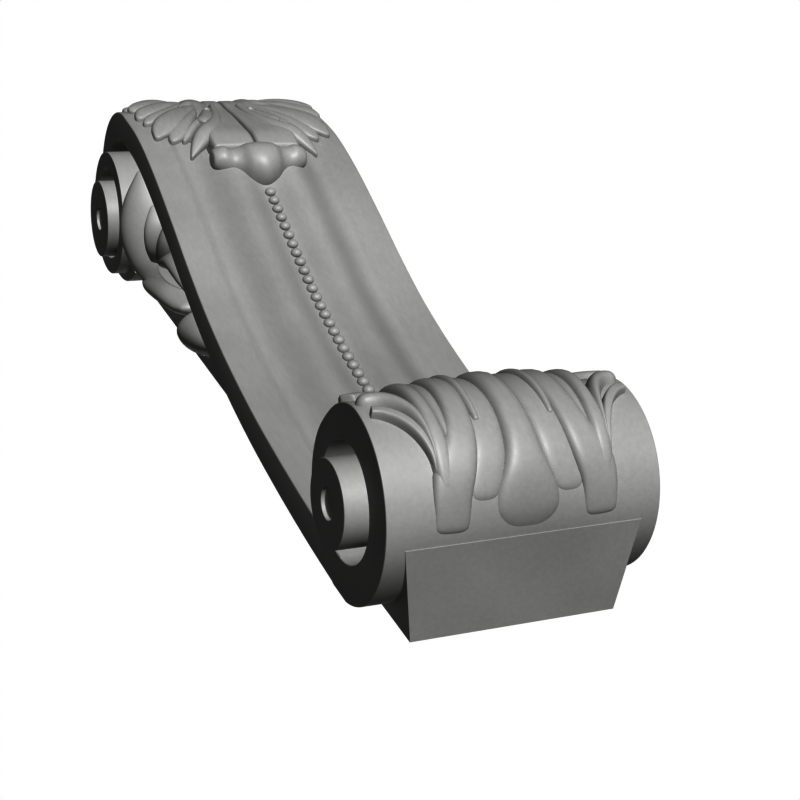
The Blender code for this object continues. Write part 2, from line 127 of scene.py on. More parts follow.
# %% [markdown]
# ## Measures of the bracket
#
# The same main lengths as in the solid model, in millimetres. A point of the side view is a pair
# (up, out), where out is the distance from the wall. Two curves carry everything else: the front
# of the band, and the outline of the roll, which draws in towards its back. The points between the
# ends of the front line came out of the same fit as the camera, rounded to a tenth.

# %% Sizes and the front line
MM = 0.001
HALF_HEIGHT = 210.0
RIDGE_HEIGHT = 1.0  # of the band's swells over its borders at the very top
BAND_HALF_WIDTH = 55.0
BAND_THICKNESS = 14.0
WEB_HALF_WIDTH = 42.1
FOOT_SPREAD = 0.149
FOOT_LAP = 4.0
RECESS_FLOOR = 39.0

ROLL_RADIUS = 38.3
ROLL_UP = -HALF_HEIGHT + ROLL_RADIUS + 0.3
ROLL_OUT = 38.0
ROLL_DRAW = 0.12  # share of the radius by which the roll draws in at its back
DRAW_STARTS = (84.0, 142.0)  # degrees up from the roll's lowest line
DRAW_ENDS = (225.0, 280.0)
ROLL_RECESS_RADIUS = 23.1
ROLL_HUB_RADIUS = 17.0
ROLL_HUB_END = 61.9
QUARTER_ROLL = ROLL_RADIUS * math.pi / 2

CREST_RADIUS = 45.5
CREST_UP = HALF_HEIGHT - CREST_RADIUS - RIDGE_HEIGHT
CREST_OUT = 49.3
CREST_RECESS_RADIUS = 32.0
STEP_RADIUS = 32.8
STEP_END = 62.4
STEP_RECESS_RADIUS = 24.3
STEP_RECESS_FLOOR = 46.0
STEP_UP = CREST_UP - 2.0
STEP_OUT = 41.4
HUB_RADIUS = 20.4
HUB_END = 67.5
HUB_OUT = 38.3
DIMPLE_RADIUS = 6.0
DIMPLE_DEPTH = 1.6

FRONT_KNOTS = [
    (ROLL_UP, 15.2),
    (-137.0, 17.3),
    (-102.0, 20.8),
    (-66.6, 25.8),
    (-31.2, 33.1),
    (2.7, 42.7),
    (34.3, 54.7),
    (65.5, 68.1),
    (100.0, 81.8),
    (132.0, 91.2),
    (CREST_UP, CREST_OUT + CREST_RADIUS),
]
KNOT_STEPS = 10
TOP_TURN = math.radians(225.0)
TOP_STEPS = 90


def place(x, up, out):
    """Turns millimetres across, up and out from the wall into a point of the model."""
    return Vector((x, -out, up)) * MM


def smooth(knots, steps):
    """Reads a curve through the knots, steps points to each stretch."""
    knots = [Vector(knot) for knot in knots]
    ends = [2 * knots[0] - knots[1]] + knots + [2 * knots[-1] - knots[-2]]
    points = []
    for a, b, c, d in zip(ends, ends[1:], ends[2:], ends[3:]):
        for step in range(steps):
            t = step / steps
            points.append(
                b + 0.5 * t * (c - a + t * (2 * a - 5 * b + 4 * c - d + t * (3 * (b - c) + d - a)))
            )
    points.append(knots[-1])
    return points


def lengths(line):
    """Distance of each point of the line from its start."""
    total = [0.0]
    for a, b in zip(line, line[1:]):
        total.append(total[-1] + (b.xy - a.xy).length)
    return total


FRONT = smooth(FRONT_KNOTS, KNOT_STEPS)
CREST = len(FRONT) - 1
for step in range(1, TOP_STEPS + 1):
    turn = TOP_TURN * step / TOP_STEPS
    FRONT.append(
        Vector((CREST_UP + CREST_RADIUS * math.sin(turn), CREST_OUT + CREST_RADIUS * math.cos(turn)))
    )
FRONT_LENGTHS = lengths(FRONT)
print("front of the band:", round(FRONT_LENGTHS[-1], 1), "mm long,", len(FRONT), "points")

# %% [markdown]
# ### Charts
#
# A chart says where a point lies that is known by two distances along a surface and a height over
# it. There is one for the band, one for the roll and one for each flat side. With them, every leaf
# is drawn as if the wood were flat, and comes out wrapped over the curve.

# %% Charts
def on_band(x, down, height):
    """A point on the band: across, distance down the front from the crest, height over the border."""
    along = min(max(FRONT_LENGTHS[CREST] - down, 0.0), FRONT_LENGTHS[-1])
    index = min(max(bisect.bisect_right(FRONT_LENGTHS, along) - 1, 0), len(FRONT) - 2)
    start, end = FRONT[index], FRONT[index + 1]
    share = (along - FRONT_LENGTHS[index]) / (FRONT_LENGTHS[index + 1] - FRONT_LENGTHS[index])
    before = FRONT[max(index - 1, 0)]
    after = FRONT[min(index + 2, len(FRONT) - 1)]
    tangent = (end - before).lerp(after - start, share).normalized()
    base = start.lerp(end, share)
    return place(x, base.x - height * tangent.y, base.y + height * tangent.x)


def ease(value, start, end):
    """Goes smoothly from 0 at start to 1 at end."""
    share = min(max((value - start) / (end - start), 0.0), 1.0)
    return share * share * (3.0 - 2.0 * share)


def roll_point(turn, height):
    """A point of the roll's side view: turn up from its lowest line, height over its surface."""
    degrees = math.degrees(turn)
    draw = ROLL_DRAW * (ease(degrees, *DRAW_STARTS) - ease(degrees, *DRAW_ENDS))
    reach = ROLL_RADIUS * (1.0 - draw) + height
    return Vector((ROLL_UP - reach * math.cos(turn), ROLL_OUT + reach * math.sin(turn)))


def on_roll(x, quarters, height):
    """A point on the roll: across, quarter turns up from its lowest line, height over its surface."""
    point = roll_point(quarters * math.pi / 2, height)
    return place(x, point.x, point.y)


def on_right(up, out, height):
    """A point over the right face of the web."""
    return place(WEB_HALF_WIDTH + height, up, out)


def on_left(up, out, height):
    """A point over the left face of the web."""
    return place(-WEB_HALF_WIDTH - height, up, out)


print("crest of the band:", tuple(round(value, 4) for value in on_band(0.0, 0.0, 0.0)))

# %% [markdown]
# ## Web and foot
#
# The web is the thick board that carries the scrolls and stands against the wall. By hand it is a
# polygon with the bracket's side view, extruded across. The foot is a block that widens
# away from the wall. The two are united, so that no line is left between them on the back, and get
# a hair of bevel, because primer never leaves a knife edge.

# %% Helpers for shaping by hand
CREASE = 35.0  # degrees, above which an edge of the turned and sawn parts stays an edge
ROUND_STEPS = 96


def deselect():
    """Leaves edit mode and deselects every object."""
    if bpy.context.object and bpy.context.object.mode != "OBJECT":
        bpy.ops.object.mode_set(mode="OBJECT")
    bpy.ops.object.select_all(action="DESELECT")


def take(piece):
    """Selects one object and makes it the active one."""
    deselect()
    piece.select_set(True)
    bpy.context.view_layer.objects.active = piece


def apply_place():
    """Moves the active object's place into its mesh."""
    bpy.ops.object.transform_apply(location=True, rotation=True, scale=True)


def combine(piece, other, operation):
    """Joins another body to a piece, or cuts it out of the piece, and removes it."""
    take(piece)
    change = piece.modifiers.new("combine", "BOOLEAN")
    change.operation = operation
    change.solver = "EXACT"
    change.object = other
    bpy.ops.object.modifier_apply(modifier=change.name)
    bpy.data.objects.remove(other)


def soften(piece, width):
    """Rounds the edges that are sharper than CREASE and shades the faces smooth between them."""
    take(piece)
    change = piece.modifiers.new("soften", "BEVEL")
    change.width = width * MM
    change.segments = 3
    change.limit_method = "ANGLE"
    change.angle_limit = math.radians(CREASE)
    change.harden_normals = True
    bpy.ops.object.shade_smooth_by_angle(angle=math.radians(CREASE))
    bpy.ops.object.modifier_apply(modifier=change.name)


def across_cylinder(name, radius, ends, up, out, steps):
    """A cylinder lying across the bracket between two distances from the middle."""
    deselect()
    bpy.ops.mesh.primitive_cylinder_add(
        vertices=steps,
        radius=radius * MM,
        depth=abs(ends[1] - ends[0]) * MM,
        location=place((ends[0] + ends[1]) / 2, up, out),
        rotation=(0.0, math.pi / 2, 0.0),
    )
    made = bpy.context.object
    made.name = name
    apply_place()
    return made


print("helpers ready")


# %% Web
SAWN_EDGE = 0.15
QUARTER_STEPS = 16


def web_outline():
    """Side view of the web: inside the roll, along the middle of the band and to a flat top."""
    inside = BAND_THICKNESS / 2
    under = []
    for index in range(0, CREST + 1, 2):
        before = FRONT[max(index - 1, 0)]
        after = FRONT[index + 1]
        tangent = (after - before).normalized()
        under.append(FRONT[index] + inside * Vector((tangent.y, -tangent.x)))
    quarter = [
        Vector((CREST_UP, CREST_OUT))
        + (CREST_RADIUS - inside) * Vector((math.sin(turn), math.cos(turn)))
        for turn in [math.pi / 2 * step / QUARTER_STEPS for step in range(1, QUARTER_STEPS)]
    ]
    top = [Vector((HALF_HEIGHT, CREST_OUT)), Vector((HALF_HEIGHT, 0.0))]
    return [Vector((ROLL_UP, 0.0))] + under + quarter + top


def board(name, outline, half_width):
    """A polygon of the side view, extruded across; half_width(out) is half of its width."""
    deselect()
    bpy.ops.mesh.primitive_circle_add(vertices=len(outline), radius=1.0, fill_type="NGON")
    made = bpy.context.object
    made.name = name
    for vertex, point in zip(made.data.vertices, outline):
        vertex.co = place(-half_width(point.y), point.x, point.y)
    bpy.ops.object.mode_set(mode="EDIT")
    bpy.ops.mesh.select_all(action="SELECT")
    move = (2 * WEB_HALF_WIDTH * MM, 0.0, 0.0)
    bpy.ops.mesh.extrude_region_move(TRANSFORM_OT_translate={"value": move})
    bpy.ops.object.mode_set(mode="OBJECT")
    for vertex in made.data.vertices:
        vertex.co.x = math.copysign(half_width(-vertex.co.y / MM) * MM, vertex.co.x)
    bpy.ops.object.mode_set(mode="EDIT")
    bpy.ops.mesh.select_all(action="SELECT")
    bpy.ops.mesh.normals_make_consistent(inside=False)
    bpy.ops.object.mode_set(mode="OBJECT")
    return made


web = board("web", web_outline(), lambda out: WEB_HALF_WIDTH)
foot_outline = [
    Vector((-HALF_HEIGHT, 0.0)),
    Vector((-HALF_HEIGHT, ROLL_OUT)),
    Vector((ROLL_UP + FOOT_LAP, ROLL_OUT)),
    Vector((ROLL_UP + FOOT_LAP, 0.0)),
]
foot = board("foot", foot_outline, lambda out: WEB_HALF_WIDTH + FOOT_SPREAD * out)
combine(web, foot, "UNION")


def sink_eye(piece, side, radius, up, out):
    """Sinks a round eye into one side of a piece, down to the floor of the recesses."""
    ends = (side * RECESS_FLOOR, side * 2 * BAND_HALF_WIDTH)
    combine(piece, across_cylinder("eye", radius, ends, up, out, ROUND_STEPS), "DIFFERENCE")


for side in (-1, 1):
    sink_eye(web, side, CREST_RECESS_RADIUS, CREST_UP, CREST_OUT)
    sink_eye(web, side, ROLL_RECESS_RADIUS, ROLL_UP, ROLL_OUT)
soften(web, SAWN_EDGE)
print("web and foot", len(web.data.polygons), "faces")

# %% [markdown]
# ## Roll and volutes
#
# The roll is a cylinder whose outline is pulled in towards the back, with a round eye sunk in each
# end. In the eye stands a hub with a small dimple. The large volute has one more step: a ring
# that stands out further than the band, and a hub inside it.
# Each hub is a cylinder whose ends are inset and pushed in.

# %% Roll
ROLL_STEPS = 160
ROLL_EDGE = 0.5
ROLL_END = BAND_HALF_WIDTH + 0.1  # a hair past the edge of the band, whose end lies behind this face
ROLL_INSET = 0.8  # the roll's rearmost line stays this far inside the flat back
roll = across_cylinder("roll", ROLL_RADIUS, (-ROLL_END, ROLL_END), ROLL_UP, ROLL_OUT, ROLL_STEPS)
for vertex in roll.data.vertices:
    turn = math.atan2(-vertex.co.y / MM - ROLL_OUT, ROLL_UP - vertex.co.z / MM) % (2 * math.pi)
    point = roll_point(turn, 0.0)
    vertex.co = place(vertex.co.x / MM, point.x, max(point.y, ROLL_INSET))
for side in (-1, 1):
    sink_eye(roll, side, ROLL_RECESS_RADIUS, ROLL_UP, ROLL_OUT)
soften(roll, ROLL_EDGE)
print("roll", len(roll.data.polygons), "faces")


# %% Hubs and rings
TURNED_EDGE = 0.4


def select_ends(piece, end):
    """In edit mode, selects the two flat ends of a cylinder."""
    take(piece)
    bpy.ops.object.mode_set(mode="EDIT")
    bpy.ops.mesh.select_mode(type="FACE")
    bpy.ops.mesh.select_all(action="DESELECT")
    bpy.ops.object.mode_set(mode="OBJECT")
    for face in piece.data.polygons:
        face.select = abs(abs(face.center.x) - end * MM) < 1e-5 and abs(face.normal.x) > 0.99
    bpy.ops.object.mode_set(mode="EDIT")


def hub(name, radius, end, inner_radius, depth, up, out):
    """A cylinder across the bracket whose ends are sunk inside a smaller circle."""
    made = across_cylinder(name, radius, (-end, end), up, out, ROUND_STEPS)
    select_ends(made, end)
    bpy.ops.mesh.inset(thickness=(radius - inner_radius) * MM, use_individual=True)
    bpy.ops.mesh.extrude_region_move()
    bpy.ops.object.mode_set(mode="OBJECT")
    for vertex in made.data.vertices:
        if vertex.select:
            vertex.co.x -= math.copysign(depth * MM, vertex.co.x)
    soften(made, TURNED_EDGE)
    return made


roll_hub = hub("roll_hub", ROLL_HUB_RADIUS, ROLL_HUB_END, DIMPLE_RADIUS, DIMPLE_DEPTH, ROLL_UP, ROLL_OUT)
ring = hub(
    "upper_ring", STEP_RADIUS, STEP_END, STEP_RECESS_RADIUS, STEP_END - STEP_RECESS_FLOOR, STEP_UP, STEP_OUT
)
upper_hub = hub("upper_hub", HUB_RADIUS, HUB_END, DIMPLE_RADIUS, DIMPLE_DEPTH, STEP_UP, HUB_OUT)
print("hubs and ring", [len(piece.data.polygons) for piece in (roll_hub, ring, upper_hub)])

# %% [markdown]
# ## Band
#
# The band is one cross-section drawn along the front line: a flat border, a shallow cove, a broad
# rounded swell and a channel in the middle for the beads. The places and heights of its turning
# points were fitted to the shading of the picture, and soft bends join them. The solid model has
# nearly the same section with fewer points, within about 0.7 mm. A curve with a bevel object would
# do too, but a grid that is wrapped ring by ring keeps the section square to the line everywhere,
# and the leaves use the same helper. The seam is welded and the ends are filled, so the skin is
# closed.

# %% Wrapping a grid
def wrap(name, rings):
    """A closed skin through rings of points, each ring closed on itself."""
    count = len(rings[0])
    deselect()
    bpy.ops.mesh.primitive_grid_add(x_subdivisions=count, y_subdivisions=len(rings) - 1, size=1.0)
    made = bpy.context.object
    made.name = name
    flat = [value for ring in rings for point in ring + ring[:1] for value in point]
    made.data.vertices.foreach_set("co", flat)
    bpy.ops.object.mode_set(mode="EDIT")
    bpy.ops.mesh.select_all(action="SELECT")
    bpy.ops.mesh.remove_doubles(threshold=0.000002)
    bpy.ops.mesh.fill_holes(sides=0)
    bpy.ops.mesh.normals_make_consistent(inside=False)
    bpy.ops.object.mode_set(mode="OBJECT")
    return made


def join(name, pieces, angle):
    """Makes one object of several and shades it smooth."""
    deselect()
    for piece in pieces:
        piece.select_set(True)
    bpy.context.view_layer.objects.active = pieces[0]
    bpy.ops.object.join()
    made = bpy.context.object
    made.name = name
    bpy.ops.object.shade_smooth_by_angle(angle=math.radians(angle))
    return made


print("helpers ready")

# %% Band
BORDER_EDGE = 41.5  # the flat border ends here, from the middle line
COVE_MIDDLE = 35.0
COVE_DEPTH = 1.6
SWELL_MIDDLE = 15.0
SWELL_HEIGHT = 6.4
CHANNEL_HEIGHT = 1.6  # of the channel's floor on the middle line, where the beads stand
WAVE_STEPS = 12
ARRIS = 0.7
ARRIS_STEPS = 4
SWELLS_SINK = (15.0, 75.0)  # degrees over the crest, between which the swells sink
BAND_CREASE = 40.0


def wave(start, end):
    """A soft bend between two turning points (x, height) of the section, without its last point."""
    points = []
    for step in range(WAVE_STEPS):
        share = (1.0 - math.cos(math.pi * step / WAVE_STEPS)) / 2
        x = start[0] + (end[0] - start[0]) * step / WAVE_STEPS
        points.append((x, start[1] + (end[1] - start[1]) * share))
    return points


def band_section():
    """The closed cross-section of the band."""
    corner = [
        (BAND_HALF_WIDTH - ARRIS * (1.0 - math.sin(turn)), -ARRIS * (1.0 - math.cos(turn)))
        for turn in [math.pi / 2 * step / ARRIS_STEPS for step in range(ARRIS_STEPS, -1, -1)]
    ]
    border = (BORDER_EDGE, 0.0)
    cove = (COVE_MIDDLE, -COVE_DEPTH)
    swell = (SWELL_MIDDLE, SWELL_HEIGHT)
    channel = (0.0, CHANNEL_HEIGHT)
    half = corner + wave(border, cove) + wave(cove, swell) + wave(swell, channel) + [channel]
    other = [(-x, height) for x, height in reversed(half[:-1])]
    back = [(-BAND_HALF_WIDTH, -BAND_THICKNESS), (BAND_HALF_WIDTH, -BAND_THICKNESS)]
    return half + other + back


def top_share(down):
    """Share of the swells' height at a distance down the front: they sink over the top."""
    turn = math.degrees(-down / CREST_RADIUS)
    return 1.0 - ease(turn, *SWELLS_SINK) * (1.0 - RIDGE_HEIGHT / SWELL_HEIGHT)


section = band_section()
band_rings = []
for along in FRONT_LENGTHS:
    down = FRONT_LENGTHS[CREST] - along
    band_rings.append(
        [on_band(x, down, height * top_share(down) if height > 0.0 else height) for x, height in section]
    )
band = join("band", [wrap("band", band_rings)], BAND_CREASE)
print("band", len(band.data.polygons), "faces")

# %% [markdown]
# ## Beads
#
# A string of small beads runs down the channel in the middle of the band. One bead is an oval
# ball, set a little into the wood; it is copied at every 6.5 mm of the front line.

# %% Beads
BEAD_PITCH = 6.5
BEAD_RADII = (2.8, 2.3, 2.7)
BEAD_LIFT = 2.6  # of a bead's middle over the border
FIRST_BEAD = 87.0  # distances down the front from the crest
LAST_BEAD = 310.0
CARVED_CREASE = 60.0

deselect()
bead_scale = Vector(BEAD_RADII) * MM
bpy.ops.mesh.primitive_uv_sphere_add(segments=20, ring_count=12, radius=1.0, scale=bead_scale)
first = bpy.context.object
apply_place()
beads = []
for number in range(int((LAST_BEAD - FIRST_BEAD) / BEAD_PITCH) + 1):
    bead = bpy.data.objects.new(f"bead_{number}", first.data.copy())
    bpy.context.collection.objects.link(bead)
    bead.data.transform(Matrix.Translation(on_band(0.0, FIRST_BEAD + number * BEAD_PITCH, BEAD_LIFT)))
    beads.append(bead)
bpy.data.objects.remove(first)
bead_count = len(beads)
bead_row = join("bead_row", beads, CARVED_CREASE)
print(bead_count, "beads")

# %% [markdown]
# ## Leaves
#
# A carver cuts an acanthus leaf as a bundle of rounded lobes, each one swelling, bending and
# ending blunt or pointed, with a sharp valley where two of them meet. Operators alone don't give
# such bends, so each lobe is a grid wrapped by a few stations: where its middle lies,
# how wide and how high it is there. The valleys appear where neighbours cross. Where the lobes lie
# was first read off the picture through the fitted camera, and then changed by eye against renders.

# %% One lobe
LOBE_RINGS = 56
LOBE_ARCH = 30
TIP_THICKNESS = 2.4
TIP_LIFT_START = 0.35  # share of the length after which a curled lobe lifts
SWELL_POWER = 0.6  # below 1, a rounded end keeps its height longer than its width
STATION_STEPS = 12


def read_line(line, along, where):
    """The value of a smoothed line at a distance from its start."""
    index = min(max(bisect.bisect_right(along, where) - 1, 0), len(line) - 2)
    share = (where - along[index]) / (along[index + 1] - along[index])
    return line[index].lerp(line[index + 1], share)


def rounding(distance, reach):
    """Share of the full size at a distance from a rounded end."""
    if distance >= reach:
        return 1.0
    return math.sqrt(max(1.0 - (1.0 - distance / reach) ** 2, 0.0))


def lobe(name, chart, stations, sink, crown, blunt=(1.0, 1.0), stretch=1.0, curl=False):
    """One lobe through stations (u, v, half-width, height), with its feet below the surface.

    crown says how full the arch is at its two ends, blunt rounds the ends, stretch turns the second
    value into millimetres, and curl lifts the far end free.
    """
    knots = [Vector((u, v * stretch, half_width, height)) for u, v, half_width, height in stations]
    line = smooth(knots, STATION_STEPS)
    along = lengths(line)
    total = along[-1]
    shares = [math.sin(math.pi / 2 * (2 * step / LOBE_ARCH - 1)) for step in range(LOBE_ARCH + 1)]
    rings = []
    for number in range(LOBE_RINGS + 1):
        where = total * (1 - math.cos(math.pi * number / LOBE_RINGS)) / 2
        station = read_line(line, along, where)
        step = min(1.0, total / 50)
        ahead = read_line(line, along, min(where + step, total))
        behind = read_line(line, along, max(where - step, 0.0))
        across = Vector((ahead.y - behind.y, behind.x - ahead.x)).normalized()
        full = crown[0] + (crown[1] - crown[0]) * where / total
        size = rounding(where, blunt[0] * line[0].z) * rounding(total - where, blunt[1] * line[-1].z)
        lift = ease(where / total, TIP_LIFT_START, 1.0) if curl else 0.0
        under = -sink + lift * max(station.w - TIP_THICKNESS + sink, 0.0)
        ring = []
        for share in shares:
            arch = (1.0 - abs(share) ** full) ** (1.0 / full) if abs(share) < 1.0 else 0.0
            rise = under + (station.w - under) * arch * size ** SWELL_POWER
            offset = share * station.z * size
            u = station.x + across.x * offset
            v = station.y + across.y * offset
            ring.append(chart(u, v / stretch, rise))
        rings.append(ring)
    return wrap(name, rings)


def mirrored(stations):
    """The stations of a lobe on the other side of the middle."""
    return [(-x, v, half_width, height) for x, v, half_width, height in stations]


print("lobe:", LOBE_RINGS, "rings of", LOBE_ARCH, "points")

# %% [markdown]
# ### Leaf round the roll
#
# Its middle lobe widens into a drop and ends just above the foot. Beside it lie two lower
# lobes, then a long finger, and outside a rim that curls away to the roll's end with a lip under it.
# The lower ends sink back into the roll, so only a faint edge is left of them.

# %% Leaf round the roll
ROLL_SINK = 3.0
ROLL_MIDDLE = [
    (0.0, 2.3, 5.6, 1.0),
    (0.0, 1.85, 5.8, 6.4),
    (0.0, 1.45, 6.1, 7.6),
    (0.0, 1.2, 6.1, 6.6),
    (0.0, 1.0, 6.0, 5.2),
    (0.0, 0.8, 6.3, 4.8),
    (0.0, 0.6, 7.0, 4.4),
    (0.0, 0.5, 8.0, 4.0),
    (0.0, 0.4, 10.0, 3.4),
    (0.0, 0.3, 12.2, 2.4),
    (0.0, 0.2, 13.3, 1.6),
    (0.0, 0.1, 12.9, 0.9),
    (0.0, 0.0, 11.6, 0.4),
]
ROLL_INNER = [
    (10.4, 2.3, 5.8, 1.0),
    (10.6, 1.85, 6.0, 5.2),
    (10.8, 1.4, 6.1, 6.2),
    (10.9, 1.2, 6.2, 5.0),
    (11.0, 1.0, 6.3, 3.7),
    (11.4, 0.8, 6.5, 3.4),
    (12.7, 0.6, 6.9, 2.8),
    (13.8, 0.5, 7.1, 2.2),
    (15.3, 0.4, 6.8, 1.4),
    (16.9, 0.3, 6.1, 0.8),
    (17.2, 0.22, 5.6, 0.4),
]
ROLL_INNER_FOLD = [
    (14.2, 2.3, 2.6, 1.0),
    (14.4, 1.85, 3.0, 6.0),
    (14.6, 1.4, 3.0, 7.2),
    (14.8, 1.15, 2.8, 6.2),
    (15.0, 0.95, 2.5, 5.2),
    (15.0, 0.8, 2.1, 4.5),
    (14.9, 0.7, 1.6, 3.8),
]
ROLL_FINGER = [
    (20.2, 2.3, 5.0, 1.0),
    (20.3, 1.85, 5.2, 5.0),
    (20.2, 1.4, 5.3, 6.2),
    (20.3, 1.2, 5.2, 5.8),
    (20.5, 1.0, 5.2, 5.2),
    (21.3, 0.8, 5.5, 4.8),
    (23.2, 0.62, 6.4, 4.4),
    (25.6, 0.5, 7.4, 3.7),
    (28.2, 0.4, 8.2, 2.9),
    (29.4, 0.3, 7.7, 2.0),
    (29.7, 0.2, 7.3, 1.2),
    (30.0, 0.05, 7.0, 0.4),
]
ROLL_WEDGE = [
    (26.6, 2.3, 4.0, 1.0),
    (27.0, 1.85, 4.2, 3.8),
    (27.3, 1.4, 4.2, 4.8),
    (27.5, 1.2, 4.0, 4.2),
    (27.6, 1.0, 3.6, 3.6),
    (27.8, 0.8, 2.9, 3.4),
    (28.0, 0.6, 1.7, 3.2),
    (28.1, 0.48, 0.8, 2.8),
]
ROLL_SHOULDER = [
    (32.0, 2.3, 4.0, 1.0),
    (32.6, 1.85, 4.2, 4.0),
    (33.0, 1.4, 4.2, 5.0),
    (33.2, 1.2, 4.0, 4.8),
    (33.0, 1.0, 3.7, 4.6),
    (32.4, 0.8, 3.6, 4.6),
    (32.2, 0.6, 4.2, 4.2),
    (32.0, 0.45, 4.0, 3.2),
    (31.4, 0.3, 3.2, 1.9),
]
ROLL_RIM = [
    (34.6, 0.44, 0.9, 2.2),
    (34.8, 0.6, 1.6, 4.0),
    (36.3, 0.77, 2.6, 5.0),
    (39.2, 0.89, 3.3, 4.9),
    (43.6, 0.98, 3.7, 4.7),
    (48.6, 1.02, 3.9, 4.2),
    (53.6, 1.01, 3.5, 3.4),
]
ROLL_LIP = [
    (34.8, 0.42, 0.6, 1.6),
    (35.4, 0.54, 1.2, 3.2),
    (37.2, 0.65, 1.8, 3.8),
    (40.0, 0.74, 2.1, 4.0),
    (43.6, 0.81, 2.2, 3.9),
    (47.8, 0.86, 2.1, 3.6),
    (51.5, 0.88, 1.9, 3.2),
]
ROLL_BACK_LOBE = [
    (31.0, 2.2, 4.6, 2.0),
    (35.0, 1.7, 5.4, 4.0),
    (41.0, 1.42, 5.4, 3.8),
    (47.0, 1.27, 4.8, 3.2),
    (53.6, 1.18, 4.0, 2.6),
]

ROLL_LOBES = [
    (ROLL_INNER, (2.4, 4.0), (1.0, 0.8)),
    (ROLL_INNER_FOLD, (2.2, 2.6), (1.0, 0.9)),
    (ROLL_FINGER, (2.4, 4.4), (1.0, 0.5)),
    (ROLL_WEDGE, (2.2, 2.2), (1.0, 1.0)),
    (ROLL_SHOULDER, (2.2, 3.0), (1.0, 1.0)),
    (ROLL_RIM, (2.0, 2.2), (1.0, 1.0)),
    (ROLL_LIP, (3.0, 5.0), (1.0, 0.2)),
    (ROLL_BACK_LOBE, (2.2, 4.0), (1.0, 0.2)),
]

roll_lobes = [
    lobe("roll_middle", on_roll, ROLL_MIDDLE, ROLL_SINK, crown=(2.4, 3.6), stretch=QUARTER_ROLL)
]
for stations, crown, blunt in ROLL_LOBES:
    for half in (stations, mirrored(stations)):
        roll_lobes.append(
            lobe("roll_lobe", on_roll, half, ROLL_SINK, crown=crown, blunt=blunt, stretch=QUARTER_ROLL)
        )
roll_leaf = join("roll_leaf", roll_lobes, CARVED_CREASE)
LEAF_END = (BAND_HALF_WIDTH - 0.3) * MM  # the leaf stops just inside the ends of the roll
for vertex in roll_leaf.data.vertices:
    vertex.co.x = max(-LEAF_END, min(LEAF_END, vertex.co.x))
print("leaf round the roll", len(roll_leaf.data.polygons), "faces")

# %% [markdown]
# ### Palmette over the crest
#
# The palmette hangs over the top of the band. Two halves of a fan meet in a dark groove and end
# in a broad nose with three swellings. Pointed and rounded leaves spread from its sides, and a
# small pit is sunk in each rounded leaf beside the fan.

# %% Palmette
PALMETTE_SINK = 6.5
NOSE = [
    (-25.2, 63.8, 6.0, 1.5, 2.0),
    (-24.4, 63.8, 6.0, 5.0, 4.8),
    (-19.6, 63.8, 5.0, 7.2, 7.8),
    (-15.0, 64.4, 4.6, 7.2, 7.0),
    (-11.0, 65.2, 4.4, 8.6, 8.0),
    (-6.5, 66.8, 4.0, 11.2, 11.2),
    (0.0, 67.8, 4.0, 12.8, 12.2),
    (6.5, 66.8, 4.0, 11.2, 11.2),
    (11.0, 65.2, 4.4, 8.6, 8.0),
    (15.0, 64.4, 4.6, 7.2, 7.0),
    (19.6, 63.8, 5.0, 7.2, 7.8),
    (24.4, 63.8, 6.0, 5.0, 4.8),
    (25.2, 63.8, 6.0, 1.5, 2.0),
]
FAN_HALF = [
    (4.4, -34.0, 4.4, 3.0),
    (4.9, -12.0, 4.9, 5.4),
    (5.4, 5.0, 5.3, 5.6),
    (6.8, 20.0, 6.7, 7.0),
    (9.6, 34.0, 9.5, 9.0),
    (11.8, 48.0, 11.7, 11.8),
    (11.6, 61.0, 11.5, 11.8),
]
POINTED_LEAF = [
    (7.0, 1.0, 2.6, 7.2),
    (9.2, 15.0, 4.2, 7.8),
    (12.2, 26.5, 5.4, 9.2),
    (16.4, 35.4, 6.2, 10.8),
    (21.3, 42.0, 6.0, 12.0),
    (26.0, 48.0, 5.0, 11.4),
    (30.4, 54.2, 3.0, 8.4),
    (34.0, 59.6, 0.6, 5.0),
]
OVAL_LEAF = [
    (10.4, 5.0, 3.6, 6.4),
    (13.6, 15.6, 5.4, 7.9),
    (17.0, 26.0, 5.8, 9.2),
    (19.8, 33.0, 4.6, 9.8),
]
SMALL_LEAF = [
    (19.0, 24.0, 3.6, 7.4),
    (25.0, 31.5, 4.0, 8.0),
    (30.0, 38.0, 3.2, 6.8),
    (33.8, 43.8, 0.8, 4.2),
]
BROAD_LEAF = [
    (14.0, -4.0, 4.0, 4.6),
    (22.0, 8.0, 6.6, 7.4),
    (31.2, 19.4, 8.2, 8.8),
    (38.6, 28.6, 7.8, 8.6),
    (43.8, 35.2, 5.2, 6.8),
    (47.4, 40.6, 1.2, 4.6),
]
BROAD_LEAF_FOLD = [
    (17.0, 5.0, 3.0, 6.0),
    (22.5, 17.6, 4.2, 7.6),
    (28.6, 28.0, 5.0, 8.2),
    (34.4, 36.2, 5.2, 7.2),
    (38.2, 41.2, 3.4, 5.6),
    (40.0, 44.0, 1.0, 4.2),
]
EYELET = (12.4, 13.0, 7.8)
EYELET_RADII = (2.4, 2.4, 3.6)
NOSE_TURNS = 48
NOSE_STEPS = 8
